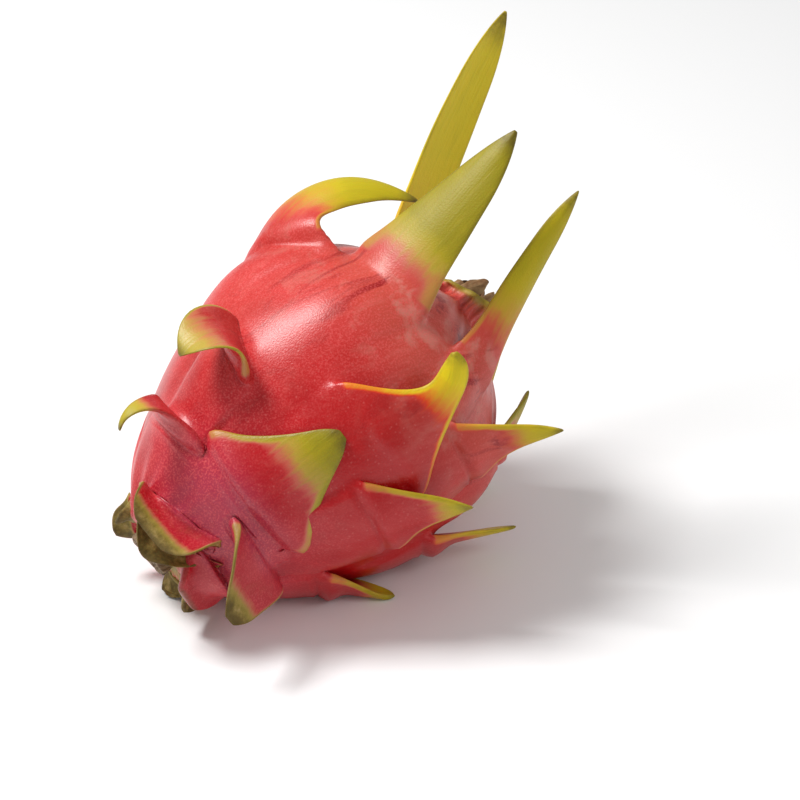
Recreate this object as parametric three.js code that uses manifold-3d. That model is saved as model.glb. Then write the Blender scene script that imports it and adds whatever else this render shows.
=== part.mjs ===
// A whole dragon fruit, as picked, lying on its side on a small flat spot.
// Millimetres and degrees, +Z up. The origin is the middle of the flat spot, and +X is the way
// that the flower end points, seen from above.

import * as THREE from 'three';
import { mergeVertices } from 'three/addons/utils/BufferGeometryUtils.js';
import Module from 'manifold-3d';

const wasm = await Module();
wasm.setup();

// Body: an egg about its own axis, tapered to the stem end and blunt at the flower end.
const BELLY_RADIUS = 45.5;
const STEM_SIDE = 66; // from the widest place to the stem end
const FLOWER_SIDE = 47; // from the widest place to the flower end
const STEM_POWER = 1.66; // of the superellipse, where 2 is a true ellipse
const FLOWER_POWER = 2.2;
const BODY_LENGTH = STEM_SIDE + FLOWER_SIDE;
const BODY_SIDES = 40;
const BODY_ROWS = 24;

// Both ends have a hollow: the flower's withered rest sits in one and the cut stem in the other.
const COLLAR_RADIUS = 10.5;
const COLLAR_HEIGHT = 4.5;
const COLLAR_WALL = 2.4;
const FLOWER_HOLLOW_DEPTH = 5;
const STEM_HOLLOW_RADIUS = 8.5;
const STEM_HOLLOW_DEPTH = 5;
const END_GAP = 0.4; // left round the flower's rest and round the stem
const PETAL_COUNT = 9;
const STEM_RADIUS = STEM_HOLLOW_RADIUS - END_GAP - 0.6;
const STEM_LENGTH = 11;

// Lying pose: the axis rises to the flower end, and the belly is pressed flat a little.
const AXIS_RISE = 25;
const FLAT_DEPTH = 2.2;

// Scales stand in a spiral of eight ranks: each is three eighths of a turn on from the one below.
const SCALE_COUNT = 28;
const TURN = 135;
const FIRST_ROUND = 46;
const FIRST_ALONG = 0.08;
const ALONG_STEP = 0.034;
const SCALE_ROWS = 6;
const SCALE_COLUMNS = 4;
const ROOT_DEPTH = 5;
const ROOT_THICKNESS = 4.6;
const TIP_THICKNESS = 1.5;
const EDGE_SHARE = 0.5; // thickness left at the margins
const PAD_HEIGHT = 3.2; // swelling of the body under a scale
const PAD_LENGTH = 34;
const PAD_AXIL = 5; // how fast the swelling falls away above the root

const { degToRad: rad, radToDeg, lerp, smoothstep, clamp, euclideanModulo } = THREE.MathUtils;

// Body outline, u from 0 at the stem end to 1 at the flower end, as radius and height.
function bodyOutline(u) {
  const stemHalf = u < 0.5;
  const angle = Math.PI * (stemHalf ? u : 1 - u);
  const power = 2 / (stemHalf ? STEM_POWER : FLOWER_POWER);
  const side = stemHalf ? -STEM_SIDE : FLOWER_SIDE;
  return new THREE.Vector2(
    BELLY_RADIUS * Math.sin(angle) ** power,
    side * Math.cos(angle) ** power,
  );
}

// The outline's u at a share of the body's length.
function outlineAt(along) {
  const height = along * BODY_LENGTH - STEM_SIDE;
  const stemHalf = height < 0;
  const side = stemHalf ? STEM_SIDE : FLOWER_SIDE;
  const power = (stemHalf ? STEM_POWER : FLOWER_POWER) / 2;
  const angle = Math.acos((Math.abs(height) / side) ** power);
  return (stemHalf ? angle : Math.PI - angle) / Math.PI;
}

// A small even jitter from -1 to 1 that is the same on every run.
function jitter(n, k) {
  const wave = Math.sin(n * 12.9898 + k * 78.233) * 43758.5453;
  return 2 * (wave - Math.floor(wave)) - 1;
}

// Scales that grew or dried unlike the rule, by their number in the spiral.
// along and round place the root. spread is its lean out from the fruit's axis, curl the bend from
// root to tip and hook a last bend at the tip. lean and sway are the same sideways.
const OWN_GROWTH = {
  0: { along: 0.1, round: 46, length: 13, width: 28, spread: 110, curl: 60, taper: 4 },
  2: { along: 0.035, round: 124, length: 8, width: 26, spread: 125, curl: 40, taper: 3, pad: 5 },
  3: { along: 0.18, round: 86, length: 24, width: 26, spread: 115, curl: 25, taper: 2.5 },
  5: { along: 0.225, round: 2, length: 26, width: 20, spread: 78, curl: 110, hook: 40 },
  8: { along: 0.26, round: 53, length: 28, width: 46, spread: 30, curl: -20, taper: 1.6 },
  13: { along: 0.45, round: 8, length: 22, width: 32, spread: 78, curl: 120, taper: 3 },
  16: { along: 0.57, round: 67, length: 36, width: 44, spread: 10, curl: -10, sway: 36, taper: 1.6 },
  18: { along: 0.755, round: -40, length: 48, width: 32, spread: 42, curl: -134, hook: 20, sway: -4 },
  21: { along: 0.845, round: 20, length: 55, width: 27, spread: 22, curl: -6, taper: 1.8 },
  20: { length: 18, spread: 0 },
  22: { length: 22, spread: -10, curl: -20 },
  23: { along: 0.97, round: -100, length: 87, width: 20, spread: 9, lean: -32, sway: 1, taper: 2.6 },
  25: { length: 18, spread: -20 },
  27: { along: 0.87, round: 75, length: 60, width: 18, spread: -12, curl: 10, lean: 19, taper: 2.4 },
};
const NEVER_GREW = [10, 24, 26];

// Short dry bracts hang round the stem.
const BRACT_COUNT = 5;
const BRACT = { along: 0.032, length: 8, width: 17, spread: 180, curl: 16, taper: 3, pad: 0 };

// The measures of scale n: the rule's, or its own where it grew differently.
function measuresOf(n) {
  const along = FIRST_ALONG + ALONG_STEP * n;
  const rule = {
    along: Math.min(along, 0.93),
    round: FIRST_ROUND + TURN * n + 8 * jitter(n, 1),
    length: lerp(18, 34, along) + 4 * jitter(n, 2),
    width: lerp(36, 26, along) + 3 * jitter(n, 3),
    spread: lerp(55, 12, along),
    curl: 25 * jitter(n, 4),
    sway: 0,
    hook: 0,
    lean: 0,
    cup: 0.2,
    taper: 1.8,
    pad: PAD_HEIGHT,
  };
  return { ...rule, ...OWN_GROWTH[n] };
}

const numbers = [...Array(SCALE_COUNT).keys()].filter((n) => !NEVER_GREW.includes(n));
const scales = numbers.map(measuresOf);
for (let n = 0; n < BRACT_COUNT; n += 1) {
  const round = FIRST_ROUND + (360 / BRACT_COUNT) * n + 9 * jitter(n, 5);
  scales.push({ ...measuresOf(0), ...BRACT, round });
}

// Swelling of the body at a height and a direction round the axis, from the scales that grow there.
function swelling(height, round, radius) {
  return scales.reduce((sum, { along, round: root, width, pad }) => {
    const up = height - (along * BODY_LENGTH - STEM_SIDE);
    const turn = euclideanModulo(round - root + 180, 360) - 180;
    const across = (rad(turn) * radius) / (width / 2);
    const lengthways = up < 0 ? up / PAD_LENGTH : up / PAD_AXIL;
    const fall = clamp(1 - lengthways ** 2, 0, 1) * clamp(1 - across ** 2, 0, 1);
    return sum + pad * fall ** 1.5;
  }, 0);
}

// A closed geometry as a solid.
function solidOf(geometry) {
  geometry.deleteAttribute('normal');
  geometry.deleteAttribute('uv');
  const merged = mergeVertices(geometry, 1e-3);
  const kept = [];
  const corners = merged.index.array;
  for (let i = 0; i < corners.length; i += 3) {
    const [a, b, c] = corners.subarray(i, i + 3);
    if (a !== b && b !== c && c !== a) kept.push(a, b, c);
  }
  return new wasm.Manifold(new wasm.Mesh({
    numProp: 3,
    vertProperties: merged.attributes.position.array,
    triVerts: new Uint32Array(kept),
  }));
}

function geometryOf(solid) {
  const { vertProperties, triVerts } = solid.getMesh();
  const geometry = new THREE.BufferGeometry();
  geometry.setAttribute('position', new THREE.BufferAttribute(vertProperties, 3));
  geometry.setIndex(new THREE.BufferAttribute(triVerts, 1));
  return geometry;
}

// The skin's outline between the two hollows, and the heights where it meets them.
const skinRows = [...Array(BODY_ROWS - 1).keys()].map((row) => bodyOutline((row + 1) / BODY_ROWS));
const skinOutline = skinRows.filter((p) => p.x > (p.y < 0 ? STEM_HOLLOW_RADIUS : COLLAR_RADIUS) + 1);
const STEM_END = skinOutline[0].y;
const FLOWER_END = skinOutline[skinOutline.length - 1].y + 2;
const STEM_FLOOR = STEM_END + STEM_HOLLOW_DEPTH;
const FLOWER_FLOOR = FLOWER_END - FLOWER_HOLLOW_DEPTH;
const COLLAR_BORE = COLLAR_RADIUS - COLLAR_WALL;

// A solid turned about the fruit's axis from pairs of radius and height.
function turned(pairs, sides) {
  const profile = pairs.map(([radius, height]) => new THREE.Vector2(radius, height));
  return new THREE.LatheGeometry(profile, sides).rotateX(Math.PI / 2);
}

// The body, with a collar at the flower end and a swelling under each scale.
function bodySolid() {
  const geometry = turned([
    [0, STEM_END],
    ...skinOutline.map((p) => [p.x, p.y]),
    [COLLAR_RADIUS, FLOWER_END],
    [COLLAR_RADIUS + 0.6, FLOWER_END + COLLAR_HEIGHT],
    [COLLAR_BORE + 0.6, FLOWER_END + COLLAR_HEIGHT],
    [COLLAR_BORE, FLOWER_FLOOR],
    [0, FLOWER_FLOOR],
  ], BODY_SIDES);
  const place = geometry.getAttribute('position');
  for (let i = 0; i < place.count; i += 1) {
    const [x, y, z] = [place.getX(i), place.getY(i), place.getZ(i)];
    const radius = Math.hypot(x, y);
    if (radius <= COLLAR_RADIUS + 1) continue;
    const grown = 1 + swelling(z, radToDeg(Math.atan2(y, x)), radius) / radius;
    place.setXY(i, x * grown, y * grown);
  }
  return solidOf(geometry);
}

// A tapering blade that follows the round of what it grows from at its root and its own cup at its
// tip. root is the radius and height that it starts at, thick its thickness at root and tip.
function bladeSolid(blade, root, thick, depth, rows, columns) {
  const geometry = new THREE.BoxGeometry(2, 1, 1, columns, rows, 1);
  const round = rad(blade.round);
  const out = new THREE.Vector3(Math.cos(round), Math.sin(round), 0);
  const axis = new THREE.Vector3(0, 0, 1);
  const side = axis.clone().cross(out);

  // Direction, outer normal and side of the blade at t, 0 at the root and 1 at the tip.
  function frameAt(t) {
    const bend = rad(blade.spread + blade.curl * t + blade.hook * t ** 4);
    const turn = rad(blade.lean + blade.sway * t);
    const ahead = axis.clone().multiplyScalar(Math.cos(bend)).addScaledVector(out, Math.sin(bend));
    const normal = out.clone().multiplyScalar(Math.cos(bend)).addScaledVector(axis, -Math.sin(bend));
    const aside = side.clone().applyAxisAngle(normal, turn);
    return { ahead: ahead.applyAxisAngle(normal, turn), normal, aside };
  }

  const spine = [out.clone().multiplyScalar(root.x).setZ(root.y)];
  for (let row = 0; row < rows; row += 1) {
    const { ahead } = frameAt((row + 0.5) / rows);
    spine.push(spine[row].clone().addScaledVector(ahead, blade.length / rows));
  }
  const sunk = frameAt(0).ahead.add(out).multiplyScalar(-depth);
  const place = geometry.getAttribute('position');
  for (let i = 0; i < place.count; i += 1) {
    const across = place.getX(i);
    const row = Math.round((place.getY(i) + 0.5) * rows);
    const t = row / rows;
    const { normal, aside } = frameAt(t);
    const half = (blade.width / 2) * Math.max(1 - t ** blade.taper, 0.03);
    const hug = lerp(half / (2 * root.x), blade.cup, smoothstep(t, 0, 0.6));
    const thickness = lerp(thick[0], thick[1], Math.sqrt(t)) * lerp(1, EDGE_SHARE, across ** 2);
    const point = spine[row].clone().addScaledVector(aside, across * half);
    point.addScaledVector(normal, place.getZ(i) * thickness - hug * half * across ** 2);
    if (row === 0) point.add(sunk);
    place.setXYZ(i, point.x, point.y, point.z);
  }
  return solidOf(geometry);
}

function scaleSolid(scale) {
  const root = bodyOutline(outlineAt(scale.along));
  root.x += scale.pad / 2;
  const thick = [ROOT_THICKNESS, TIP_THICKNESS];
  return bladeSolid(scale, root, thick, ROOT_DEPTH, SCALE_ROWS, SCALE_COLUMNS);
}

// The flower's withered rest: a plug at the bottom of the collar with dry petals standing on it.
function witheredFlowerSolid() {
  const radius = COLLAR_BORE - END_GAP;
  const plug = solidOf(turned([
    [0, FLOWER_FLOOR + END_GAP],
    [radius, FLOWER_FLOOR + END_GAP],
    [radius, FLOWER_END],
    [radius - 2, FLOWER_END + 1.5],
    [0, FLOWER_END + 1.5],
  ], 20));
  const petals = [...Array(PETAL_COUNT).keys()].map((n) => bladeSolid({
    round: (360 / PETAL_COUNT) * n + 10 * jitter(n, 6),
    length: 9 + 2.5 * jitter(n, 7),
    width: 5,
    spread: -4,
    curl: 4 * jitter(n, 8),
    hook: 0,
    lean: 0,
    sway: 20 * jitter(n, 9),
    cup: 0.2,
    taper: 3,
  }, new THREE.Vector2(radius - 2, FLOWER_END), [1.4, 1.2], 0.8, 4, 2));
  return petals.reduce((whole, petal) => whole.add(petal), plug);
}

// The hollow that the stem stands in, which also keeps the bracts clear of it.
function stemHollowSolid() {
  return solidOf(turned([
    [0, STEM_END - STEM_LENGTH],
    [STEM_HOLLOW_RADIUS, STEM_END - STEM_LENGTH],
    [STEM_HOLLOW_RADIUS, STEM_END],
    [STEM_HOLLOW_RADIUS - 0.5, STEM_FLOOR],
    [0, STEM_FLOOR],
  ], BODY_SIDES));
}

// The cut stem: a short dry peg, a little wider where it was cut.
function stemSolid() {
  const cut = STEM_FLOOR - END_GAP - STEM_LENGTH;
  return solidOf(turned([
    [0, cut + 1],
    [STEM_RADIUS - 1.6, cut],
    [STEM_RADIUS - 0.4, cut + 1.2],
    [STEM_RADIUS - 1, cut + 5],
    [STEM_RADIUS - 0.6, STEM_FLOOR - END_GAP],
    [0, STEM_FLOOR - END_GAP],
  ], 20));
}

// From the fruit's own frame to the lying pose, with the flat spot's middle at the origin.
const rise = rad(AXIS_RISE);
const underside = skinOutline.map(({ x, y }) => new THREE.Vector2(
  y * Math.cos(rise) + x * Math.sin(rise),
  y * Math.sin(rise) - x * Math.cos(rise),
));
const lowest = underside.reduce((low, point) => (point.y < low.y ? point : low));
function layDown(solid) {
  const geometry = geometryOf(solid).rotateZ(Math.PI).rotateY(Math.PI / 2 - rise);
  return geometry.translate(-lowest.x, 0, -lowest.y - FLAT_DEPTH);
}

// The fruit pressed flat where it lies.
const grown = scales.reduce((whole, scale) => whole.add(scaleSolid(scale)), bodySolid());
const floor = new THREE.BoxGeometry(400, 400, 40).translate(0, 0, -20);
const whole = grown.subtract(stemHollowSolid());
const pressed = solidOf(layDown(whole)).subtract(solidOf(floor));

const skin = new THREE.MeshStandardMaterial({ color: 0xd23b4e, roughness: 0.45, metalness: 0 });
const dryPetal = new THREE.MeshStandardMaterial({ color: 0x8a6a48, roughness: 0.85, metalness: 0 });
const dryStem = new THREE.MeshStandardMaterial({ color: 0x75695a, roughness: 0.9, metalness: 0 });

const dragonFruit = new THREE.Group();
const nodes = [
  ['fruit', geometryOf(pressed), skin],
  ['withered_flower', layDown(witheredFlowerSolid()), dryPetal],
  ['stem_stub', layDown(stemSolid()), dryStem],
];
for (const [name, geometry, material] of nodes) {
  const mesh = new THREE.Mesh(geometry, material);
  mesh.name = name;
  dragonFruit.add(mesh);
}

export default dragonFruit;
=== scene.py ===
# A whole dragon fruit lying on its side, with its scales, the withered flower and the cut stem.
# Lengths are in millimetres until a point is laid down in the frame, and angles in degrees.

import math

import bmesh
import bpy
import numpy as np
from mathutils import Matrix, Vector, noise


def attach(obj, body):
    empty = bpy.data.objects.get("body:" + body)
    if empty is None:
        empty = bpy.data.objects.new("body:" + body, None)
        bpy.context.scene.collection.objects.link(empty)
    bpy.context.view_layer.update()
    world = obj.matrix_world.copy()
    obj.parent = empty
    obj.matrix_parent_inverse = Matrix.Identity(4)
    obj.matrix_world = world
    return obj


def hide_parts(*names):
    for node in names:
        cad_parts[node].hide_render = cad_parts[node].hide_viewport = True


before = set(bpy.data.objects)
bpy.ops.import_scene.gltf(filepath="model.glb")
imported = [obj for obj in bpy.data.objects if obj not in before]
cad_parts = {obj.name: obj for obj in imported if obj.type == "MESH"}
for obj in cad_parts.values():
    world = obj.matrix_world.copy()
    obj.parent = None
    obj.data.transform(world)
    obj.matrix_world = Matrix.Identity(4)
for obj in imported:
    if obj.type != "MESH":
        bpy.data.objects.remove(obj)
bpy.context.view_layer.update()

MM = 0.001

# Body, as in the solid: an egg tapered to the stem end.
BELLY_RADIUS = 45.5
STEM_SIDE = 66.0
FLOWER_SIDE = 47.0
STEM_POWER = 1.66
FLOWER_POWER = 2.2
BODY_LENGTH = STEM_SIDE + FLOWER_SIDE
AXIS_RISE = 25.0
FLAT_DEPTH = 2.2

# Ends
COLLAR_RADIUS = 10.5
COLLAR_BORE = 8.1
FLOWER_END = 47.5
COLLAR_TOP = FLOWER_END + 4.5
FLOWER_FLOOR = FLOWER_END - 5.0
STEM_HOLLOW_RADIUS = 8.5
STEM_END = -60.0
STEM_FLOOR = STEM_END + 5.0
STEM_RADIUS = 7.5
STEM_LENGTH = 11.0
PLUG_RADIUS = 7.4
PLUG_HEIGHT = 8.0
PETAL_COUNT = 14
PETAL_THICKNESS = (0.6, 0.4)
PAPER = 0.45
CRUMPLE_SEED = 7
FLOWER_TILT = 0.38
FLOWER_TILT_ROUND = 136.0

# Scales in a spiral of eight ranks
SCALE_COUNT = 28
TURN = 135.0
FIRST_ROUND = 46.0
FIRST_ALONG = 0.08
ALONG_STEP = 0.034
ROOT_THICKNESS = 4.4
TIP_THICKNESS = 1.3
EDGE_SHARE = 0.42
PAD_HEIGHT = 3.2
PAD_LENGTH = 34.0
PAD_AXIL = 5.0
PLATE_HEIGHT = 1.3
NEVER_GREW = (10, 24, 26)
SCALE_OUTLINE = ((0, 1), (0.2, 0.74), (0.45, 0.48), (0.7, 0.28), (0.88, 0.14), (1, 0.03))

# Skin mesh
COLUMNS = 60
SKIN_ROWS = 35
RING_PITCH = 4.8
SPINE_STEPS = 60


def lerp(a, b, t):
    return a + (b - a) * t


def smoothstep(x, low, high):
    """Eases from 0 at low to 1 at high, for a number or an array."""
    t = np.clip((x - low) / (high - low), 0, 1)
    return t * t * (3 - 2 * t)


def jitter(n, k):
    """A draw from -1 to 1 that is the same on every run."""
    wave = math.sin(n * 12.9898 + k * 78.233) * 43758.5453
    return 2 * (wave - math.floor(wave)) - 1


def body_radius(height):
    """The plain body's radius at a height along its axis."""
    side, power = (STEM_SIDE, STEM_POWER) if height < 0 else (FLOWER_SIDE, FLOWER_POWER)
    share = min(abs(height) / side, 1.0)
    return BELLY_RADIUS * (1 - share**power) ** (1 / power)


def body_line(count, stem_margin, flower_margin):
    """Radius and height of points from the stem's hollow to the collar, set back by the margins."""
    line = []
    for step in range(1, count):
        share = step / count
        stem_half = share < 0.5
        angle = math.pi * (share if stem_half else 1 - share)
        power = 2 / (STEM_POWER if stem_half else FLOWER_POWER)
        out = BELLY_RADIUS * math.sin(angle) ** power
        up = (-STEM_SIDE if stem_half else FLOWER_SIDE) * abs(math.cos(angle)) ** power
        if out > (STEM_HOLLOW_RADIUS + stem_margin if up < 0 else COLLAR_RADIUS + flower_margin):
            line.append((out, up))
    return line


# Each scale's own growth, where it differs from the rule. along and round place the root. spread is
# its lean out from the fruit's axis, curl the bend from root to tip, hook a last bend at the tip;
# lean, sway and swing are the same sideways, slant tilts the root line on the body, and roll turns
# the scale about its own length. cup hollows it, pad and plate swell the skin below it, and outline
# gives its width at shares of its length. green_from and green_full are the shares where it turns
# from red to green, band the width of its green margin, warm how much orange lies between them and
# dry how far it has withered.
OWN_GROWTH = {
    0: dict(along=0.085, round=38, length=13, width=27, spread=100, curl=75, slant=15,
            outline=((0, 1), (0.5, 0.95), (0.8, 0.8), (1, 0.45)),
            green_from=0.6, green_full=0.85, dry=1, warm=0, band=0.8),
    2: dict(along=0.055, round=90, length=10, width=21, spread=115, curl=60, pad=5, thick=(9, 4),
            outline=((0, 1), (0.4, 0.98), (0.75, 0.75), (1, 0.4)),
            green_from=1.5, green_full=2, band=0),
    3: dict(along=0.18, round=84, length=24, width=30, spread=125, curl=30, cup=0.08,
            outline=((0, 1), (0.35, 0.8), (0.7, 0.5), (0.88, 0.4), (1, 0.12)),
            green_from=0.62, green_full=0.85, dry=1, warm=0, band=0.7),
    5: dict(along=0.225, round=4, length=28, width=28, spread=70, curl=110, hook=80,
            outline=((0, 1), (0.2, 0.68), (0.42, 0.26), (0.7, 0.16), (1, 0.03)),
            green_from=0.5, green_full=0.75, warm=0.25, band=0),
    8: dict(along=0.24, round=56, length=32, width=47, spread=30, curl=-22,
            outline=((0, 1), (0.2, 0.76), (0.45, 0.5), (0.75, 0.27), (0.92, 0.17), (1, 0.06)),
            green_from=0.36, green_full=0.8, band=3.0, warm=0.1),
    13: dict(along=0.455, round=6, length=24, width=24, spread=75, curl=135, slant=-24, cup=0.25,
             outline=((0, 1), (0.4, 0.95), (0.7, 0.7), (0.9, 0.35), (1, 0.04)),
             green_from=0.42, green_full=1.05, band=1.2, warm=0.1),
    16: dict(along=0.56, round=68, length=36, width=46, spread=12, curl=2, swing=80, plate=0.2,
             outline=((0, 1), (0.2, 0.68), (0.4, 0.4), (0.6, 0.22), (0.8, 0.2), (0.92, 0.14),
                      (1, 0.03)),
             green_from=0.42, green_full=0.8, band=2.4, warm=1),
    18: dict(along=0.725, round=-32, length=52, width=30, spread=42, curl=-130, hook=20, sway=-4,
             slant=38, roll=27, cup=0.35,
             outline=((0, 1), (0.2, 0.75), (0.45, 0.58), (0.7, 0.5), (0.9, 0.26), (1, 0.03)),
             green_from=0.12, green_full=0.6, warm=0.5, band=0.8, plate=0.6),
    20: dict(length=18, spread=0),
    21: dict(along=0.845, round=20, length=55, width=32, spread=22, curl=-6, swing=6,
             outline=((0, 1), (0.18, 0.78), (0.45, 0.6), (0.72, 0.42), (0.9, 0.2), (1, 0.02)),
             green_from=0.08, green_full=0.36, warm=0.1, band=7, plate=0.15),
    22: dict(length=22, spread=-10, curl=-20),
    23: dict(along=0.95, round=-100, length=89, width=24, spread=9, lean=-40, sway=22, swing=-8,
             outline=((0, 1), (0.15, 0.85), (0.35, 0.64), (0.6, 0.6), (0.8, 0.52), (0.92, 0.32),
                      (1, 0.02)),
             green_from=-0.4, green_full=0.5, warm=0.95, band=0, plate=0.4),
    25: dict(length=18, spread=-20),
    27: dict(along=0.87, round=75, length=60, width=18, spread=-12, curl=10, lean=19,
             outline=((0, 1), (0.2, 0.66), (0.5, 0.56), (0.8, 0.36), (0.92, 0.2), (1, 0.02)),
             green_from=0.12, green_full=0.55, warm=0.45, band=1.5, plate=0.4),
}
BRACT_COUNT = 5
BRACT = dict(along=0.04, length=9, width=16, spread=105, curl=85, pad=0, lean=0,
             outline=((0, 1), (0.5, 0.9), (0.8, 0.6), (1, 0.15)),
             green_from=-0.2, green_full=0.4, dry=1, warm=0, band=0)
OWN_BRACTS = {
    0: dict(round=44, width=26, length=15, spread=95, curl=60, cup=0.35),
    1: dict(round=112, width=20, length=11, spread=120, curl=30),
    4: dict(round=310, length=6, width=12, spread=165, curl=15),
}


def measures_of(n):
    """The measures of scale n: the rule's, or its own where it grew differently."""
    along = FIRST_ALONG + ALONG_STEP * n
    green = 0.42 + 0.12 * jitter(n, 10)
    rule = dict(
        along=min(along, 0.93),
        round=FIRST_ROUND + TURN * n + 8 * jitter(n, 1),
        length=lerp(18, 34, along) + 4 * jitter(n, 2),
        width=lerp(36, 26, along) + 3 * jitter(n, 3),
        spread=lerp(55, 12, along),
        curl=25 * jitter(n, 4),
        sway=0, hook=0, lean=0, swing=0, slant=0, roll=0, cup=0.2, pad=PAD_HEIGHT, plate=1,
        thick=(ROOT_THICKNESS, TIP_THICKNESS), outline=SCALE_OUTLINE,
        green_from=green, green_full=green + 0.4, band=2.0,
        warm=0.5 + 0.4 * jitter(n, 11), dry=0, number=n,
    )
    rule.update(OWN_GROWTH.get(n, {}))
    return rule


scales = [measures_of(n) for n in range(SCALE_COUNT) if n not in NEVER_GREW]
for n in range(BRACT_COUNT):
    bract = dict(measures_of(0), **BRACT)
    bract["round"] = FIRST_ROUND + 360 / BRACT_COUNT * n + 9 * jitter(n, 5)
    bract["number"] = 40 + n
    bract.update(OWN_BRACTS.get(n, {}))
    scales.append(bract)


def swelling(height, turn, radius):
    """How far the body swells under the scales that grow there."""
    grown = 0.0
    for scale in scales:
        up = height - (scale["along"] * BODY_LENGTH - STEM_SIDE)
        if up < -PAD_LENGTH or up > PAD_AXIL or not scale["pad"]:
            continue
        aside = math.radians((turn - scale["round"] + 180) % 360 - 180) * radius
        across = aside / (scale["width"] / 2)
        lengthways = up / (PAD_LENGTH if up < 0 else PAD_AXIL)
        fall = max(1 - lengthways**2, 0) * max(1 - across**2, 0)
        grown += scale["pad"] * fall**1.5
    return grown


# The lying pose, with the flat spot's middle at the origin
RISE = math.radians(AXIS_RISE)
underside = [(up * math.sin(RISE) - out * math.cos(RISE),
              up * math.cos(RISE) + out * math.sin(RISE)) for out, up in body_line(24, 1, 1)]
lowest, lowest_x = min(underside)
LAY_DOWN = (Matrix.Translation((-lowest_x, 0, -lowest - FLAT_DEPTH))
            @ Matrix.Rotation(math.pi / 2 - RISE, 4, "Y") @ Matrix.Rotation(math.pi, 4, "Z"))
STAND_UP = LAY_DOWN.inverted()


def laid(point, floor=0.0):
    """A point of the upright fruit, in the frame in metres, no lower than floor."""
    place = LAY_DOWN @ point
    place.z = max(place.z, floor)
    return place * MM


class Blade:
    """The run of one scale or petal: where its margins and its two faces lie."""

    def __init__(self, measures, root_radius, root_height, on_body=True):
        self.m = measures
        self.root_radius = root_radius
        self.thick = measures["thick"]
        self.on_body = on_body
        turn = math.radians(measures["round"])
        self.out = Vector((math.cos(turn), math.sin(turn), 0))
        self.axis = Vector((0, 0, 1))
        self.spine = [self.out * root_radius + self.axis * root_height]
        for step in range(SPINE_STEPS):
            ahead = self.directions((step + 0.5) / SPINE_STEPS)[0]
            self.spine.append(self.spine[-1] + ahead * (measures["length"] / SPINE_STEPS))

    def directions(self, t):
        m = self.m
        bend = math.radians(m["spread"] + m["curl"] * t + m["hook"] * t**4)
        turn = math.radians(m["lean"] + m["sway"] * t + m["swing"] * t**3)
        ahead = self.axis * math.cos(bend) + self.out * math.sin(bend)
        normal = self.out * math.cos(bend) - self.axis * math.sin(bend)
        spin = Matrix.Rotation(turn, 3, normal)
        side = self.axis.cross(self.out)
        slant = math.radians(m["slant"])
        root_line = side * math.cos(slant) + self.axis * math.sin(slant)
        ahead = spin @ ahead
        aside = root_line.lerp(spin @ side, smoothstep(t, 0, 0.6)).normalized()
        roll = Matrix.Rotation(math.radians(m["roll"]) * smoothstep(t, 0, 0.35), 3, ahead)
        aside = roll @ aside
        return ahead, aside.cross(ahead).normalized(), aside

    def half_width(self, t):
        shares, widths = zip(*self.m["outline"])
        return self.m["width"] / 2 * float(np.interp(t, shares, widths))

    def point(self, t, across, face):
        """The point at t from root to tip, across from margin to margin, on face +1 or -1."""
        m = self.m
        where = t * (len(self.spine) - 1)
        low = min(int(where), len(self.spine) - 2)
        middle = self.spine[low].lerp(self.spine[low + 1], where - low)
        ahead, normal, aside = self.directions(t)
        half = self.half_width(t)
        hug = lerp(half / (2 * self.root_radius), m["cup"], smoothstep(t, 0, 0.6))
        thickness = lerp(self.thick[0], self.thick[1], math.sqrt(t))
        thickness *= lerp(1, EDGE_SHARE, across * across)
        ruffle = 0.5 * t * across * abs(across) * math.sin(9 * t + 7 * m["number"])
        offset = face * thickness / 2 - hug * half * across * across + ruffle
        point = middle + aside * (across * half) + normal * offset
        if self.on_body:
            point = self.clear_of_body(point, face, thickness, t)
        return point

    def clear_of_body(self, point, face, thickness, t):
        """Keeps both faces off the body that the scale lies on."""
        radius = math.hypot(point.x, point.y)
        turn = math.degrees(math.atan2(point.y, point.x))
        if not STEM_END < point.z < FLOWER_END - 4 or radius < 1:
            return point
        skin = body_radius(point.z) + swelling(point.z, turn, radius)
        gap = 0.25 + 0.5 * t
        folded = self.directions(t)[1].dot(self.out) < 0
        upper = (face > 0) != folded
        least = skin + gap + (0.8 * thickness if upper else 0)
        if radius < least:
            point.x *= least / radius
            point.y *= least / radius
        return point


# Modelling helpers


def deselect():
    if bpy.context.object and bpy.context.object.mode != "OBJECT":
        bpy.ops.object.mode_set(mode="OBJECT")
    bpy.ops.object.select_all(action="DESELECT")


def apply_modifiers(obj):
    deselect()
    bpy.context.view_layer.objects.active = obj
    obj.select_set(True)
    for modifier in list(obj.modifiers):
        bpy.ops.object.modifier_apply(modifier=modifier.name)


def smooth(obj, levels):
    modifier = obj.modifiers.new("Smooth skin", "SUBSURF")
    modifier.levels = levels
    modifier.render_levels = levels
    apply_modifiers(obj)
    bpy.ops.object.shade_smooth()


def outline_rows():
    """Radius of the skin's evenly spaced rows, and the outline they lie on with its running length."""
    line = np.array(body_line(2000, 1.5, 1.2))
    run = np.concatenate([[0], np.cumsum(np.hypot(*np.diff(line, axis=0).T))])
    even = np.linspace(0, run[-1], SKIN_ROWS)
    return np.interp(even, run, line[:, 0]), run, line


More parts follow.
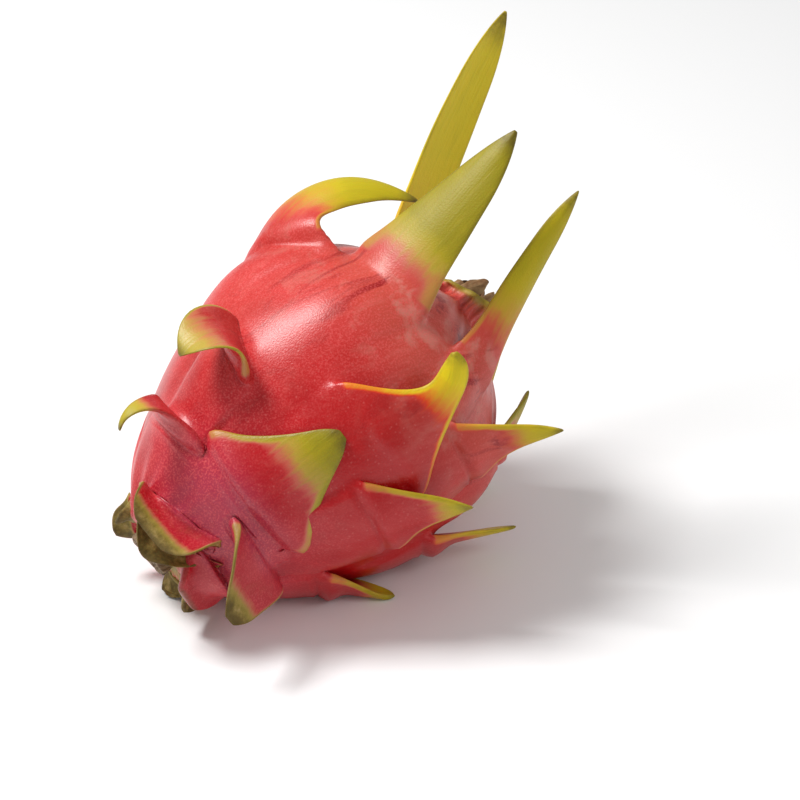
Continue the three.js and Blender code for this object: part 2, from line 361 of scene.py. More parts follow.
ROW_RADIUS, RUN, LINE = outline_rows()
ROW_PITCH = RUN[-1] / (SKIN_ROWS - 1)
STEM_ROWS = [(4.0, STEM_FLOOR), (7.4, STEM_FLOOR + 0.1), (8.3, STEM_FLOOR - 1.2),
             (8.6, STEM_END + 0.5), (9.0, STEM_END - 1.6)]
FLOWER_ROWS = [(COLLAR_RADIUS + 0.2, FLOWER_END), (COLLAR_RADIUS + 0.1, FLOWER_END + 2),
               (COLLAR_RADIUS + 0.7, COLLAR_TOP - 0.4), (COLLAR_RADIUS - 0.2, COLLAR_TOP + 0.5),
               (COLLAR_BORE + 0.6, COLLAR_TOP - 0.3), (COLLAR_BORE + 0.1, FLOWER_END),
               (COLLAR_BORE, FLOWER_FLOOR + 0.8), (COLLAR_BORE - 1.5, FLOWER_FLOOR),
               (3.5, FLOWER_FLOOR)]
FIRST_SKIN = len(STEM_ROWS) + 1
RINGS = len(STEM_ROWS) + SKIN_ROWS + len(FLOWER_ROWS) + 1


def run_at(height):
    """How far along the skin's outline a height lies."""
    return float(np.interp(height, LINE[:, 1], RUN))


def root_strip(scale):
    """Row and first column of the skin faces that a scale grows from, and how many they are."""
    height = scale["along"] * BODY_LENGTH - STEM_SIDE
    run = run_at(height)
    row = min(max(int(round(run / ROW_PITCH - 0.5)), 0), SKIN_ROWS - 2)
    pitch = 2 * math.pi * max(body_radius(height), 9) / COLUMNS
    count = min(max(int(round(scale["width"] / pitch)), 4), 9)
    first = int(round(scale["round"] / 360 * COLUMNS - count / 2))
    shift_run = run - (row + 0.5) * ROW_PITCH
    shift_turn = scale["round"] - (first + count / 2) * 360 / COLUMNS
    return row, first, count, shift_run, shift_turn


def skin_point(row, column):
    """A vertex of the plain skin, drawn towards the roots near it so that they lie in place."""
    run = row * ROW_PITCH
    turn = column * 360 / COLUMNS
    moved_run, moved_turn = run, turn
    for scale, strip in zip(scales, strips):
        strip_row, first, count, shift_run, shift_turn = strip
        far_run = max(abs(run - (strip_row + 0.5) * ROW_PITCH) - ROW_PITCH * 0.6, 0) / 7
        middle = (first + count / 2) * 360 / COLUMNS
        aside = math.radians((turn - middle + 180) % 360 - 180) * ROW_RADIUS[row]
        half = math.radians(count / 2 * 360 / COLUMNS) * ROW_RADIUS[row]
        far_turn = max(abs(aside) - half, 0) / 8
        pull = math.exp(-far_run**2 - far_turn**2)
        aside = min(max(aside, -half), half)
        moved_run += (shift_run + math.tan(math.radians(scale["slant"])) * aside) * pull
        moved_turn += shift_turn * pull
    moved_run = min(max(moved_run, 0), RUN[-1])
    radius = float(np.interp(moved_run, RUN, LINE[:, 0]))
    height = float(np.interp(moved_run, RUN, LINE[:, 1]))
    radius += swelling(height, moved_turn, radius)
    angle = math.radians(moved_turn)
    lump = noise.noise(Vector((math.cos(angle), math.sin(angle), height / 45)) * 1.7)
    ends = smoothstep(radius, 12, 30)
    radius += 0.9 * lump * ends
    return Vector((math.cos(angle) * radius, math.sin(angle) * radius, height))


def end_point(radius, height, column, folds):
    """A vertex of a hollow or of the collar, with its folds."""
    angle = math.radians(column * 360 / COLUMNS)
    fold = noise.noise(Vector((math.cos(angle) * 2.2, math.sin(angle) * 2.2, height / 30)))
    radius += folds * (0.9 * fold + 0.6 * math.sin(9 * angle + 3 * fold))
    height += folds * 1.4 * noise.noise(Vector((math.cos(angle) * 1.6, math.sin(angle) * 1.6, 5)))
    return tipped(Vector((math.cos(angle) * radius, math.sin(angle) * radius, height)))


def tipped(point):
    """The flower end withered lopsided: its rim stands higher on one side."""
    share = smoothstep(point.z, FLOWER_END - 1, COLLAR_TOP)
    turn = math.radians(FLOWER_TILT_ROUND)
    point.z += FLOWER_TILT * share * (point.x * math.cos(turn) + point.y * math.sin(turn))
    return point


strips = [root_strip(scale) for scale in scales]
LAYERS = ("grow", "across", "half", "green_from", "green_full", "band", "warm", "dry", "inner",
          "plate_share")


def skin_with_scales():
    """The skin: a sphere shaped to the body, each scale drawn out of the faces at its root."""
    deselect()
    bpy.ops.mesh.primitive_uv_sphere_add(segments=COLUMNS, ring_count=RINGS, radius=1)
    obj = bpy.context.object
    obj.name = "dragon_fruit_skin"
    obj.data.name = "dragon_fruit_skin"
    bpy.ops.object.mode_set(mode="EDIT")
    bpy.ops.mesh.select_mode(type="FACE")
    bm = bmesh.from_edit_mesh(obj.data)
    ring_of = bm.verts.layers.int.new("ring")
    column_of = bm.verts.layers.int.new("column")
    grown_on = bm.verts.layers.int.new("grown_on")
    blade_of = bm.verts.layers.float_vector.new("blade")
    layer = {name: bm.verts.layers.float.new(name) for name in LAYERS}

    # Body, collar and hollows
    for vert in bm.verts:
        ring = int(round(math.acos(max(min(-vert.co.z, 1), -1)) / math.pi * RINGS))
        column = int(round(math.atan2(vert.co.y, vert.co.x) / (2 * math.pi) * COLUMNS)) % COLUMNS
        vert[ring_of] = ring
        vert[column_of] = column
        vert[layer["green_from"]] = 2
        vert[layer["green_full"]] = 3
        skin_row = ring - FIRST_SKIN
        if ring == 0:
            place = Vector((0, 0, STEM_FLOOR + 0.4))
            vert[layer["dry"]] = 1
        elif ring == RINGS:
            place = Vector((0, 0, FLOWER_FLOOR - 0.2))
            vert[layer["dry"]] = 1
        elif skin_row < 0:
            radius, height = STEM_ROWS[ring - 1]
            place = end_point(radius, height, column, 0.3)
            vert[layer["dry"]] = 1 if ring < 4 else 0.5
        elif skin_row < SKIN_ROWS:
            place = skin_point(skin_row, column)
        else:
            step = skin_row - SKIN_ROWS
            radius, height = FLOWER_ROWS[step]
            place = end_point(radius, height, column, (0.6, 0.9, 1, 1, 0.7, 0.3, 0, 0, 0)[step])
            vert[layer["dry"]] = (0.05, 0.25, 0.6, 0.8, 1, 1, 1, 1, 1)[step]
        vert.co = laid(place)

    # Scales
    for number, (scale, strip) in enumerate(zip(scales, strips)):
        row, first, count, _, _ = strip
        low_ring = FIRST_SKIN + row
        columns = [(first + step) % COLUMNS for step in range(count + 1)]
        bpy.ops.mesh.select_all(action="DESELECT")
        bm = bmesh.from_edit_mesh(obj.data)
        bm.faces.ensure_lookup_table()
        for face in bm.faces:
            if any(v[grown_on] for v in face.verts):
                continue
            rings = {v[ring_of] for v in face.verts}
            if rings != {low_ring, low_ring + 1}:
                continue
            if all(v[column_of] in columns for v in face.verts):
                face.select_set(True)
        height = scale["along"] * BODY_LENGTH - STEM_SIDE
        root = body_radius(height) + scale["pad"] / 2
        blade = Blade(scale, root, height)
        rings = min(max(int(round(scale["length"] / RING_PITCH)), 5), 11)
        for step in range(rings):
            t = 0.05 + 0.95 * (1 - (1 - step / (rings - 1)) ** 1.2)
            bpy.ops.mesh.extrude_region_move()
            bm = bmesh.from_edit_mesh(obj.data)
            for vert in bm.verts:
                if not vert.select:
                    continue
                across = 2 * columns.index(vert[column_of]) / count - 1
                face = 1 if vert[ring_of] == low_ring else -1
                point = blade.point(t, across, face)
                spare = 0.3 if (LAY_DOWN @ point).z < 2 else 0
                lift = 1.6 if face < 0 else 0
                vert.co = laid(point, spare + lift if spare else 0)
                vert[grown_on] = number + 1
                vert[blade_of] = Vector((across * blade.half_width(t), t * scale["length"],
                                         scale["number"] * 37))
                vert[layer["grow"]] = t
                vert[layer["across"]] = across
                vert[layer["half"]] = blade.half_width(t)
                vert[layer["inner"]] = 1 if face < 0 else 0
                vert[layer["plate_share"]] = scale["plate"]
                for name in ("green_from", "green_full", "band", "warm", "dry"):
                    vert[layer[name]] = scale[name]
    bmesh.update_edit_mesh(obj.data)
    bpy.ops.object.mode_set(mode="OBJECT")
    smooth(obj, 2)
    return obj


def values(mesh, name):
    data = mesh.attributes[name].data
    out = np.empty(len(data), dtype=np.float32)
    data.foreach_get("value", out)
    return out


def store(mesh, name, array, kind="FLOAT"):
    attribute = mesh.attributes.new(name, kind, "POINT")
    if kind == "FLOAT":
        attribute.data.foreach_set("value", array.astype(np.float32))
    else:
        attribute.data.foreach_set("color", array.astype(np.float32).ravel())


def raise_plates(obj):
    """Lifts the plate below every scale with a crisp edge, and folds the skin at both ends."""
    mesh = obj.data
    count = len(mesh.vertices)
    place = np.empty(count * 3, dtype=np.float32)
    normal = np.empty(count * 3, dtype=np.float32)
    mesh.vertices.foreach_get("co", place)
    mesh.vertices.foreach_get("normal", normal)
    place, normal = place.reshape(-1, 3), normal.reshape(-1, 3)
    turn = np.array(STAND_UP)
    upright = place / MM @ turn[:3, :3].T + turn[:3, 3]
    height = upright[:, 2]
    radius = np.hypot(upright[:, 0], upright[:, 1])
    around = np.degrees(np.arctan2(upright[:, 1], upright[:, 0]))
    grow, inner, dry = values(mesh, "grow"), values(mesh, "inner"), values(mesh, "dry")
    on_body = grow < 0.01
    plate = np.zeros(count)
    for scale in scales:
        if not scale["pad"]:
            continue
        aside = np.radians((around - scale["round"] + 180) % 360 - 180) * radius
        up = height - (scale["along"] * BODY_LENGTH - STEM_SIDE)
        up = up - np.tan(math.radians(scale["slant"])) * aside
        half = scale["width"] / 2 * (1 - 0.3 * np.clip(-up / PAD_LENGTH, 0, 1))
        edge = 1 - smoothstep(np.abs(aside) / half, 0.88, 1.04)
        reach = (1 - smoothstep(-up, 8, PAD_LENGTH * 0.95)) * (1 - smoothstep(up, 0, 2))
        plate = np.maximum(plate, PLATE_HEIGHT * scale["plate"] * edge * reach)
    root = PLATE_HEIGHT * values(mesh, "plate_share") * (1 - smoothstep(grow, 0, 0.35))
    root = root * (inner < 0.5)
    lift = np.where(on_body, plate, root)
    along = (height + STEM_SIDE) / BODY_LENGTH
    ends = smoothstep(along, 0.8, 0.97) + 1 - smoothstep(along, 0.04, 0.22)
    folds = np.array([noise.noise(Vector((p[0] / max(r, 4) * 6, p[1] / max(r, 4) * 6, p[2] / 30)))
                      for p, r in zip(upright, radius)])
    lift += np.where(on_body & (dry < 0.4), 1.7 * folds * ends, 0)
    place += normal * (lift * MM)[:, None]
    place[:, 2] = np.maximum(place[:, 2], 0)
    mesh.vertices.foreach_set("co", place.astype(np.float32).ravel())
    mesh.update()


def ripen(obj):
    """Works out how green, dry and red each place is, from where it is on the fruit."""
    mesh = obj.data
    count = len(mesh.vertices)
    place = np.empty(count * 3, dtype=np.float32)
    mesh.vertices.foreach_get("co", place)
    place = place.reshape(-1, 3) / MM
    turn = np.array(STAND_UP)
    upright = place @ turn[:3, :3].T + turn[:3, 3]
    along = (upright[:, 2] + STEM_SIDE) / BODY_LENGTH
    around = np.degrees(np.arctan2(upright[:, 1], upright[:, 0]))

    def near(middle, reach, round_middle, round_reach):
        off = (around - round_middle + 180) % 360 - 180
        return np.exp(-((along - middle) / reach) ** 2 - (off / round_reach) ** 2)

    grow = values(mesh, "grow")
    across = values(mesh, "across")
    green_from, green_full = values(mesh, "green_from"), values(mesh, "green_full")
    band = values(mesh, "band")
    from_edge = (1 - np.abs(across)) * values(mesh, "half")
    margin = (1 - smoothstep(from_edge, band * 0.3, band + 0.01)) * smoothstep(grow, 0, 0.06)
    margin = margin * (band > 0.3)
    ripe = np.clip((grow - green_from) / (green_full - green_from), 0, 1)
    ripe = np.maximum(ripe, margin * (0.38 + 0.4 * smoothstep(grow, 0.1, 0.6)))
    ripe = np.maximum(ripe, values(mesh, "dry") * (grow < 0.01))
    rim = (1 - smoothstep(from_edge, 0.2, 1.1)) * smoothstep(grow, 0.2, 0.6)
    tip = np.maximum(smoothstep(grow, 0.84, 0.98), 0.4 * rim)
    # Deep, even red low on the belly's front: partly the skin's own deeper red, partly painted shade
    # on the side turned from the light
    deep_red_and_shade = np.clip(1.2 * near(0.53, 0.19, 84, 42) + near(0.4, 0.25, 160, 60), 0, 1)
    rose = np.clip(1.1 * near(0.16, 0.14, 50, 38) + near(0.08, 0.12, 110, 60), 0, 1)
    # Salmon at the flower end is the skin's own colour; the weaker patch high on the belly's middle is
    # partly paler skin and partly painted highlight
    salmon_and_highlight = np.clip(1.3 * near(0.86, 0.17, 55, 75) + 0.4 * near(0.55, 0.2, -20, 40)
                     + smoothstep(along, 0.88, 0.96), 0, 1)
    on_scale = smoothstep(grow, 0, 0.3)
    rose = rose * (1 - 0.7 * on_scale)
    deep_red_and_shade = np.clip(deep_red_and_shade + 0.5 * on_scale, 0, 1)
    store(mesh, "ripe", ripe)
    store(mesh, "tip", tip)
    zones = np.stack([deep_red_and_shade, rose, salmon_and_highlight, np.ones(count)], -1)
    store(mesh, "zones", zones, "FLOAT_COLOR")
    for name in ("across", "half", "green_from", "green_full", "band", "ring", "column", "grown_on",
                 "plate_share"):
        mesh.attributes.remove(mesh.attributes[name])


# Materials


def hue(code):
    """An sRGB hex colour as linear values."""
    parts = [int(code[i:i + 2], 16) / 255 for i in (1, 3, 5)]
    return tuple(c / 12.92 if c <= 0.04045 else ((c + 0.055) / 1.055) ** 2.4 for c in parts) + (1,)


def fill(tree, made, inputs):
    """Joins a node's inputs to sockets, or sets them to fixed values and colours."""
    for key, value in inputs.items() if isinstance(inputs, dict) else enumerate(inputs):
        socket = made.inputs[key]
        if isinstance(value, bpy.types.NodeSocket):
            tree.links.new(value, socket)
        else:
            socket.default_value = hue(value) if isinstance(value, str) else value


def node(tree, kind, inputs=(), out=0, stops=(), **settings):
    """Adds a node with its settings, inputs and colour stops, and gives one of its outputs."""
    made = tree.nodes.new("ShaderNode" + kind)
    for name, value in settings.items():
        setattr(made, name, value)
    fill(tree, made, inputs)
    for _ in stops[2:]:
        made.color_ramp.elements.new(0.5)
    for number, (position, colour) in enumerate(stops):
        made.color_ramp.elements[number].position = position
        made.color_ramp.elements[number].color = hue(colour)
    return made.outputs[out]


def new_material(name):
    material = bpy.data.materials.new(name)
    material.use_nodes = True
    tree = material.node_tree
    return material, tree, tree.nodes["Principled BSDF"]


def per_metre(size):
    """A pattern's scale on coordinates in metres, from its size in millimetres."""
    return 1 / (size * MM)


# Settings that many nodes share
TIMES = dict(operation="MULTIPLY")
PLUS = dict(operation="ADD")
TIMES_PLUS = dict(operation="MULTIPLY_ADD")
CLAMPED = dict(operation="MULTIPLY_ADD", use_clamp=True)
BLEND = dict(out=2, data_type="RGBA")

# Sizes of the patterns
CLOUD = 25.0
SCAR = 10.5
MOTTLE = 7.69
STREAK = 2.38
SPECK = 1.613
GRAIN = 0.526
VEIN = 1.111
PATCH = 5.556
CRUST = 3.85
PETAL_STAIN = 4.55
PETAL_FIBRE = 1.11
BARK_STAIN = 3.33
BARK_FIBRE = 0.91


def ripe_skin():
    """Waxy skin of a ripe fruit: satin red with fine pale specks, fleshy scales that turn green."""
    material, tree, surface = new_material("Waxy dragon fruit skin")
    place = node(tree, "TexCoord", out="Object")
    lengthwise = node(tree, "Mapping", {0: place, "Rotation": (0, RISE, 0), "Scale": (0.12, 1, 1)})
    blade = node(tree, "Attribute", out="Vector", attribute_name="blade")
    vein_place = node(tree, "Mapping", {0: blade, "Scale": (1, 0.06, 1)})
    ripe, warm, dry, grow, tip, inner = [
        node(tree, "Attribute", out="Fac", attribute_name=name)
        for name in ("ripe", "warm", "dry", "grow", "tip", "inner")]
    zones = node(tree, "Attribute", out="Color", attribute_name="zones")
    deep_red_and_shade, rose, salmon_and_highlight = node(tree, "SeparateColor", [zones]).node.outputs

    # Red of the body, in clouds: deepest at the belly on its lower front side, which is partly the
    # skin's own deeper red and partly painted shade, rose at the stem, and salmon at the flower and
    # weakly high on the belly, where it is partly painted highlight
    clouds = node(tree, "TexNoise", {"Vector": place, "Scale": per_metre(CLOUD), "Detail": 4,
                                     "Roughness": 0.55})
    red = node(tree, "ValToRGB", [clouds],
               stops=((0.3, "#9f000a"), (0.5, "#b6040f"), (0.7, "#c61824")))
    red = node(tree, "Mix", {0: deep_red_and_shade, 6: red, 7: "#b00007"}, **BLEND)
    share = node(tree, "Math", [rose, 0.85], **TIMES)
    red = node(tree, "Mix", {0: share, 6: red, 7: "#a22f48"}, **BLEND)
    # Salmon towards the flower, and a partly painted highlight high on the belly
    share = node(tree, "Math", [salmon_and_highlight, 0.75], **TIMES)
    red = node(tree, "Mix", {0: share, 6: red, 7: "#c6503f"}, **BLEND)

    # Pale scars and dark mottles near the flower
    scars = node(tree, "TexNoise", {"Vector": place, "Scale": per_metre(SCAR), "Detail": 6,
                                    "Roughness": 0.6, "Distortion": 0.5})
    scar = node(tree, "Math", [scars, 9, -4.7], **CLAMPED)
    share = node(tree, "Math", [salmon_and_highlight, 0.5], **TIMES)
    scar = node(tree, "Math", [scar, share], **TIMES)
    red = node(tree, "Mix", {0: scar, 6: red, 7: "#c9897a"}, **BLEND)
    mottles = node(tree, "TexNoise", {"Vector": lengthwise, "Scale": per_metre(MOTTLE), "Detail": 4,
                                      "Roughness": 0.6, "Distortion": 1.0})
    mottle = node(tree, "Math", [mottles, -11, 5.0], **CLAMPED)
    share = node(tree, "Math", [salmon_and_highlight, 0.75, 0.15], **TIMES_PLUS)
    mottle = node(tree, "Math", [mottle, share], **TIMES)
    red = node(tree, "Mix", {0: mottle, 6: red, 7: "#900008"}, **BLEND)

    # Lengthwise streaks, fine grain and pale specks
    streaks = node(tree, "TexNoise", {"Vector": lengthwise, "Scale": per_metre(STREAK), "Detail": 3,
                                      "Roughness": 0.6})
    streak = node(tree, "Math", [streaks, 1.6, -0.75], **CLAMPED)
    share = node(tree, "Math", [salmon_and_highlight, 0.4, 0.16], **TIMES_PLUS)
    streak = node(tree, "Math", [streak, share], **TIMES)
    red = node(tree, "Mix", {0: streak, 6: red, 7: "#d87c72"}, **BLEND)
    grains = node(tree, "TexNoise", {"Vector": place, "Scale": per_metre(GRAIN), "Detail": 1,
                                     "Roughness": 0.5})
    grain = node(tree, "Math", [grains, 6.5, -3.1], **CLAMPED)
    share = node(tree, "Math", [clouds, 1.0, -0.18], **TIMES_PLUS)
    grain = node(tree, "Math", [grain, share], **TIMES)
    # Fewer pale grains in the deep red, which is partly painted shade
    share = node(tree, "Math", [deep_red_and_shade, -0.75, 1], **TIMES_PLUS)
    grain = node(tree, "Math", [grain, share], **TIMES)
    red = node(tree, "Mix", {0: grain, 6: red, 7: "#e25e5c"}, **BLEND)
    specks = node(tree, "TexVoronoi", {"Vector": place, "Scale": per_metre(SPECK)})
    speck = node(tree, "Math", [specks, -4, 1], **CLAMPED)
    share = node(tree, "Math", [speck, 0.22], **TIMES)
    red = node(tree, "Mix", {0: share, 6: red, 7: "#e58a84"}, **BLEND)

    # Green of the scales, with lengthwise veins, on coordinates in millimetres
    veins = node(tree, "TexNoise", {"Vector": vein_place, "Scale": 1 / VEIN, "Detail": 3,
                                    "Roughness": 0.55})
    patches = node(tree, "TexNoise", {"Vector": blade, "Scale": 1 / PATCH, "Detail": 3})
    shift = node(tree, "Math", [patches, 0.35, -0.175], **TIMES_PLUS)
    vein_shift = node(tree, "Math", [veins, 0.3, -0.15], **TIMES_PLUS)
    shift = node(tree, "Math", [shift, vein_shift], **PLUS)
    past_root = node(tree, "Math", [grow, 4, 0], **CLAMPED)
    shift = node(tree, "Math", [shift, past_root], **TIMES)
    phase = node(tree, "Math", [ripe, 1, shift], **CLAMPED)
    cool = node(tree, "ValToRGB", [phase],
                stops=((0, "#bd2f36"), (0.25, "#bb5f4a"), (0.5, "#ab9233"), (0.75, "#9a8b0c"),
                       (1, "#877b00")))
    hot = node(tree, "ValToRGB", [phase],
               stops=((0, "#c41f1c"), (0.2, "#d63c12"), (0.42, "#dc8418"), (0.62, "#dcb010"),
                      (0.85, "#e2c800"), (1, "#dcc600")))
    green = node(tree, "Mix", {0: warm, 6: cool, 7: hot}, **BLEND)
    share = node(tree, "Math", [inner, 0.1], **TIMES)
    green = node(tree, "Mix", {0: share, 6: green, 7: "#d8c46a"}, **BLEND)
    vein = node(tree, "Math", [veins, 2.5, -1.3], **CLAMPED)
    share = node(tree, "Math", [vein, 0.3], **TIMES)
    green = node(tree, "Mix", {0: share, 6: green, 7: "#7d7a12"}, **BLEND)
    turning = node(tree, "Math", [phase, 5, 0], **CLAMPED)
    started = node(tree, "Math", [ripe, 0.001], operation="GREATER_THAN")
    turning = node(tree, "Math", [turning, started], **TIMES)
    colour = node(tree, "Mix", {0: turning, 6: red, 7: green}, **BLEND)

    # Withered margins, bracts and points
    crust = node(tree, "TexNoise", {"Vector": place, "Scale": per_metre(CRUST), "Detail": 5,
                                    "Roughness": 0.65})
    dead = node(tree, "ValToRGB", [crust],
                stops=((0.3, "#3a2a12"), (0.48, "#6e5a24"), (0.6, "#8f7a3c"), (0.75, "#b79b68")))
    ripe_dry = node(tree, "Math", [dry, ripe], **TIMES)
    wither = node(tree, "Math", [crust, 0.5, -0.25], **TIMES_PLUS)
    wither = node(tree, "Math", [wither, dry, ripe_dry], **CLAMPED)
    colour = node(tree, "Mix", {0: wither, 6: colour, 7: dead}, **BLEND)
    charred = node(tree, "Math", [crust, 1.6, -0.2], **CLAMPED)
    charred = node(tree, "Math", [tip, charred], **TIMES)
    colour = node(tree, "Mix", {0: charred, 6: colour, 7: "#4a380e"}, **BLEND)

    # Gloss, duller where it is green, salmon or withered, and relief
    rough = node(tree, "Math", [clouds, 0.15, 0.25], **TIMES_PLUS)
    rough = node(tree, "Math", [phase, 0.14, rough], **TIMES_PLUS)
    rough = node(tree, "Math", [salmon_and_highlight, 0.08, rough], **TIMES_PLUS)
    rough = node(tree, "Math", [wither, 0.3, rough], **TIMES_PLUS)
    vein_rise = node(tree, "Math", [grow, 0.5, 0], **CLAMPED)
    vein_rise = node(tree, "Math", [veins, vein_rise], **TIMES)
    relief = node(tree, "Math", [grains, 0.13, vein_rise], **TIMES_PLUS)
    crust_rise = node(tree, "Math", [wither, 0.8], **TIMES)
    relief = node(tree, "Math", [crust, crust_rise, relief], **TIMES_PLUS)
    bump = node(tree, "Bump", {"Height": relief, "Strength": 0.6, "Distance": 0.8 * MM})
    fill(tree, surface, {
        "Base Color": colour, "Roughness": rough, "Normal": bump, "IOR": 1.45,
        "Specular IOR Level": 0.5, "Subsurface Weight": 0.08,
        "Subsurface Radius": (1.0, 0.35, 0.2), "Subsurface Scale": 2 * MM})
    return material


def papery_petals():
    """Dried petals of the spent flower: thin crumpled brown paper, paler along the folds."""
    material, tree, surface = new_material("Dried flower petals")
    place = node(tree, "TexCoord", out="Object")
    grain = node(tree, "Mapping", {0: place, "Rotation": (0, RISE, 0), "Scale": (0.15, 1, 1)})
    fibres = node(tree, "TexNoise", {"Vector": grain, "Scale": per_metre(PETAL_FIBRE), "Detail": 4})
    stains = node(tree, "TexNoise", {"Vector": place, "Scale": per_metre(PETAL_STAIN), "Detail": 4})
    brown = node(tree, "ValToRGB", [stains],
                 stops=((0.3, "#4a2f1a"), (0.5, "#7d5836"), (0.7, "#a98a62")))
    pale = node(tree, "Math", [fibres, 2.4, -1.1], **CLAMPED)
    pale = node(tree, "Math", [pale, 0.5], **TIMES)
    brown = node(tree, "Mix", {0: pale, 6: brown, 7: "#c2a67c"}, **BLEND)
    bump = node(tree, "Bump", {"Height": fibres, "Strength": 0.7, "Distance": 0.5 * MM})
    fill(tree, surface, {"Base Color": brown, "Normal": bump, "Roughness": 0.85})
    return material


def woody_stem():
    """Cut stem: grey-brown fibrous bark with a pale woolly cut face."""
    material, tree, surface = new_material("Dried woody stem")
    place = node(tree, "TexCoord", out="Object")
    grain = node(tree, "Mapping", {0: place, "Rotation": (0, RISE, 0), "Scale": (0.12, 1, 1)})
    fibres = node(tree, "TexNoise", {"Vector": grain, "Scale": per_metre(BARK_FIBRE), "Detail": 5})
    stains = node(tree, "TexNoise", {"Vector": place, "Scale": per_metre(BARK_STAIN), "Detail": 3})
    brown = node(tree, "ValToRGB", [fibres],
                 stops=((0.3, "#3b2c1e"), (0.5, "#75634e"), (0.68, "#a89984")))
    stain = node(tree, "Math", [stains, 1.6, -0.6], **CLAMPED)
    brown = node(tree, "Mix", {0: stain, 6: brown, 7: "#8d6a44"}, **BLEND)
    bump = node(tree, "Bump", {"Height": fibres, "Strength": 0.9, "Distance": 0.8 * MM})
    fill(tree, surface, {"Base Color": brown, "Normal": bump, "Roughness": 0.9})
    return material


def joined(parts, name):
    deselect()
    for part in parts:
        part.select_set(True)
    bpy.context.view_layer.objects.active = parts[0]
    bpy.ops.object.join()
    made = bpy.context.object
    made.name = name
    made.data.name = name
    return made


def withered_flower():
    """The spent flower: a plug in the collar and a tuft of crumpled petals."""
    noise.seed_set(CRUMPLE_SEED)
    deselect()
    bpy.ops.mesh.primitive_cylinder_add(vertices=28, radius=PLUG_RADIUS, depth=PLUG_HEIGHT,
                                        end_fill_type="NGON")
    plug = bpy.context.object
    bpy.ops.object.mode_set(mode="EDIT")
    bpy.ops.mesh.select_mode(type="FACE")
    bpy.ops.mesh.select_all(action="DESELECT")
    bm = bmesh.from_edit_mesh(plug.data)
    for face in bm.faces:
        face.select_set(face.normal.z > 0.9)
    bpy.ops.mesh.inset(thickness=1.4, depth=0.8)
    bpy.ops.mesh.inset(thickness=2.2, depth=-1.6)
    bpy.ops.mesh.inset(thickness=1.6, depth=-1.2)
    bm = bmesh.from_edit_mesh(plug.data)
    for vert in bm.verts:
        vert.co.z += FLOWER_FLOOR + 0.4 + PLUG_HEIGHT / 2
        if vert.co.z > FLOWER_END:
            vert.co.z += 0.9 * noise.noise(vert.co * 0.5)
        vert.co = laid(tipped(vert.co))
    bmesh.update_edit_mesh(plug.data)
    bpy.ops.object.mode_set(mode="OBJECT")
    smooth(plug, 1)
    parts = [plug]
    for n in range(PETAL_COUNT):
        ring = n % 2
        measures = dict(
            round=360 / PETAL_COUNT * n + 10 * jitter(n, 6),
            length=10 + 2.5 * jitter(n, 7) - 2 * ring, width=6.5, spread=4 - 10 * ring,
            curl=22 * jitter(n, 8), sway=24 * jitter(n, 9), hook=50 * jitter(n, 12),
            roll=20 * jitter(n, 13), lean=0, swing=0, slant=0, cup=0.3, thick=PETAL_THICKNESS,
            number=60 + n, outline=((0, 0.8), (0.4, 1), (0.75, 0.8), (1, 0.25)))
        blade = Blade(measures, 6.3 - 2.2 * ring, FLOWER_END - 0.6, on_body=False)
        deselect()
        bpy.ops.mesh.primitive_grid_add(x_subdivisions=4, y_subdivisions=8, size=2)
        petal = bpy.context.object
        bpy.ops.object.mode_set(mode="EDIT")
        bm = bmesh.from_edit_mesh(petal.data)
        for vert in bm.verts:
            t = (vert.co.y + 1) / 2
            point = blade.point(t, vert.co.x, 1)
            crumple = noise.noise_vector(point * 0.55 + Vector((n * 3.1, 0, 0)))
            vert.co = laid(tipped(point + crumple * 0.9 * t))
        bmesh.update_edit_mesh(petal.data)
        bpy.ops.object.mode_set(mode="OBJECT")
        paper = petal.modifiers.new("Paper", "SOLIDIFY")
        paper.thickness = PAPER * MM
        paper.offset = 0
        smooth(petal, 1)
        parts.append(petal)
    return joined(parts, "withered_flower_petals")


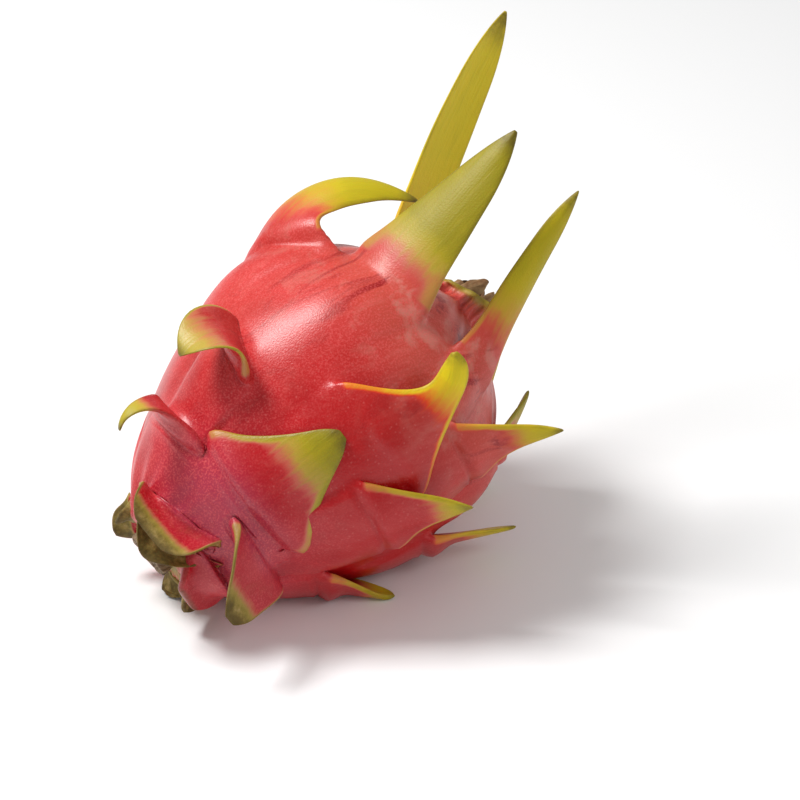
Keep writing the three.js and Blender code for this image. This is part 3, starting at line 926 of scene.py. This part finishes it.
def stem_stub():
    """The cut stem: a ridged stub with a frayed, slightly hollow end."""
    deselect()
    bpy.ops.mesh.primitive_cylinder_add(vertices=30, radius=STEM_RADIUS, depth=STEM_LENGTH,
                                        end_fill_type="NGON")
    stub = bpy.context.object
    bpy.ops.object.mode_set(mode="EDIT")
    bpy.ops.mesh.select_mode(type="FACE")
    bpy.ops.mesh.select_all(action="DESELECT")
    bm = bmesh.from_edit_mesh(stub.data)
    for face in bm.faces:
        face.select_set(face.normal.z < -0.9)
    bpy.ops.mesh.inset(thickness=0.9, depth=0.3)
    bpy.ops.mesh.inset(thickness=1.8, depth=-1.2)
    bpy.ops.mesh.inset(thickness=2.0, depth=0.5)
    bpy.ops.mesh.select_all(action="DESELECT")
    bm = bmesh.from_edit_mesh(stub.data)
    bm.edges.ensure_lookup_table()
    for edge in bm.edges:
        edge.select_set(abs(edge.verts[0].co.z - edge.verts[1].co.z) > STEM_LENGTH * 0.8)
    bpy.ops.mesh.subdivide(number_cuts=5)
    bm = bmesh.from_edit_mesh(stub.data)
    for vert in bm.verts:
        down = (STEM_LENGTH / 2 - vert.co.z) / STEM_LENGTH
        turn = math.atan2(vert.co.y, vert.co.x)
        ridge = 0.35 * math.sin(7 * turn + 2 * noise.noise(Vector((0, 0, down * 3))))
        ridge += 0.7 * noise.noise(Vector((math.cos(turn) * 2, math.sin(turn) * 2, down * 2)))
        waist = 0.9 - 0.12 * math.sin(math.pi * min(down * 1.3, 1)) + 0.04 * down
        radius = math.hypot(vert.co.x, vert.co.y)
        if radius > 1:
            grown = radius * waist + ridge * min(radius / STEM_RADIUS, 1)
            vert.co.x *= grown / radius
            vert.co.y *= grown / radius
        if down > 0.9:
            vert.co.z += 0.9 * noise.noise(Vector((math.cos(turn) * 3, math.sin(turn) * 3, radius)))
        vert.co.z += STEM_FLOOR - 0.4 - STEM_LENGTH / 2
        vert.co = laid(vert.co)
    bmesh.update_edit_mesh(stub.data)
    bpy.ops.object.mode_set(mode="OBJECT")
    smooth(stub, 2)
    stub.name = "cut_stem_stub"
    stub.data.name = "cut_stem_stub"
    return stub


skin = skin_with_scales()
raise_plates(skin)
ripen(skin)
flower = withered_flower()
stub = stem_stub()
for piece, material, stands_for, finish in (
    (skin, ripe_skin(), "fruit", "fruit_skin"),
    (flower, papery_petals(), "withered_flower", "dry_petal"),
    (stub, woody_stem(), "stem_stub", "dry_stem"),
):
    piece.data.materials.append(material)
    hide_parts(stands_for)
    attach(piece, "root")


# Floor, light and camera


def floor_and_light():
    deselect()
    bpy.ops.mesh.primitive_plane_add(size=6)
    floor = bpy.context.object
    floor.name = "floor"
    material, tree, surface = new_material("Matt white paper")
    surface.inputs["Base Color"].default_value = (0.9, 0.9, 0.9, 1)
    surface.inputs["Roughness"].default_value = 0.9
    floor.data.materials.append(material)

    world = bpy.context.scene.world or bpy.data.worlds.new("Studio")
    bpy.context.scene.world = world
    world.use_nodes = True
    back = world.node_tree.nodes["Background"]
    back.inputs[0].default_value = (1, 1, 1, 1)
    back.inputs[1].default_value = 0.4

    def lamp(name, place, aim, size, power, shows_in_gloss=True):
        data = bpy.data.lights.new(name, "AREA")
        data.size = size
        data.energy = power
        made = bpy.data.objects.new(name, data)
        made.location = place
        made.visible_glossy = shows_in_gloss
        made.rotation_euler = (Vector(aim) - Vector(place)).to_track_quat("-Z", "Y").to_euler()
        bpy.context.collection.objects.link(made)

    lamp("Key softbox", (-0.34, 0.3, 0.78), aim=(0, 0, 0.05), size=0.26, power=8)
    lamp("Front", (0.4, -0.8, 0.8), aim=(0, 0, 0.08), size=0.45, power=2.3, shows_in_gloss=False)


# The photo's view: where it looks from, its scale and where the body's middle lies in it
VIEW_TURN = -33.0
VIEW_RISE = 33.0
VIEW_DISTANCE = 900.0
PER_PIXEL = 0.285
IMAGE_SIZE = 800
MIDDLE_PIXEL = (302, 430)
SENSOR = 36.0


def camera():
    turn, rise = math.radians(VIEW_TURN), math.radians(VIEW_RISE)
    back = Vector((math.sin(turn) * math.cos(rise), -math.cos(turn) * math.cos(rise),
                   math.sin(rise)))
    right = (-back).cross(Vector((0, 0, 1))).normalized()
    up = right.cross(-back)
    middle = LAY_DOWN @ Vector((0, 0, (FLOWER_SIDE - STEM_SIDE) / 2))
    aim = (middle + right * (IMAGE_SIZE / 2 - MIDDLE_PIXEL[0]) * PER_PIXEL
           + up * (MIDDLE_PIXEL[1] - IMAGE_SIZE / 2) * PER_PIXEL)
    data = bpy.data.cameras.new("Camera")
    data.sensor_width = SENSOR
    data.lens = SENSOR * VIEW_DISTANCE / (IMAGE_SIZE * PER_PIXEL)
    made = bpy.data.objects.new("Camera", data)
    made.location = (aim + back * VIEW_DISTANCE) * MM
    made.rotation_euler = (-back).to_track_quat("-Z", "Y").to_euler()
    bpy.context.collection.objects.link(made)
    bpy.context.scene.camera = made


floor_and_light()
camera()
bpy.context.scene.view_settings.view_transform = "Standard"
